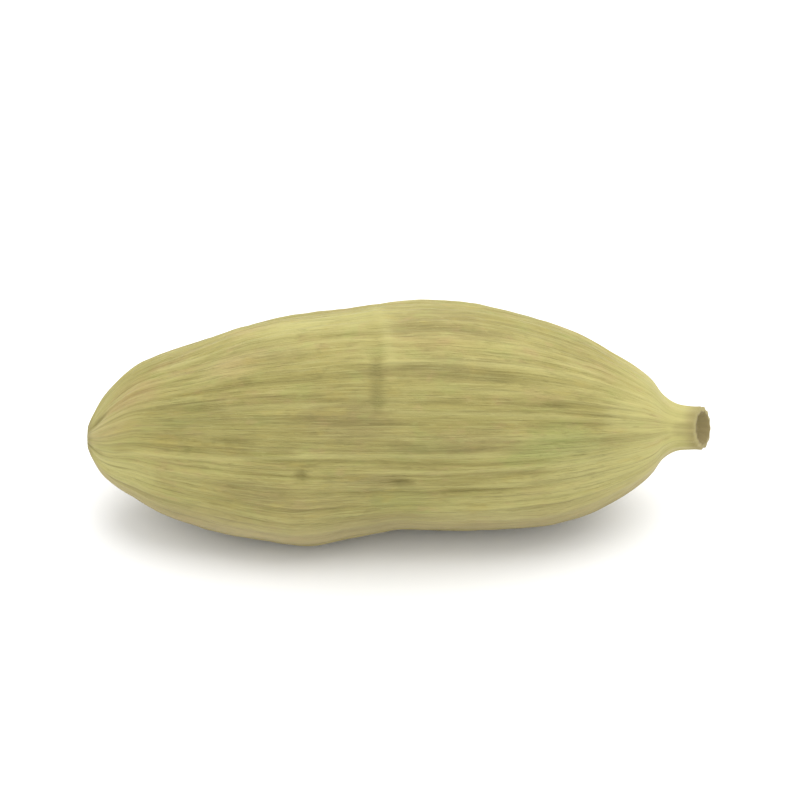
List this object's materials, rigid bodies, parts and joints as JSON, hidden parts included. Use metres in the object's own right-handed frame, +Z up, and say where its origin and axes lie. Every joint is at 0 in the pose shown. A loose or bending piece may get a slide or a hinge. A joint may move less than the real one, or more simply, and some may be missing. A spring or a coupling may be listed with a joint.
{
  "type": "green cardamom pod",
  "caption": "Whole dried green cardamom pod lying on its side: a plump, softly ridged seed capsule with fine lengthwise ribs, a puckered tip and a short stub of stalk.",
  "frame": {"origin": "middle of the footprint, on the surface that the pod lies on", "axes": "+X along the pod towards its stalk, +Z up, -Y towards the side that faces the viewer"},
  "size_m": [0.0192, 0.008, 0.0075],
  "materials": {
    "husk": "matte"
  },
  "bodies": {
    "root": {"pod": "husk"}
  },
  "joints": []
}
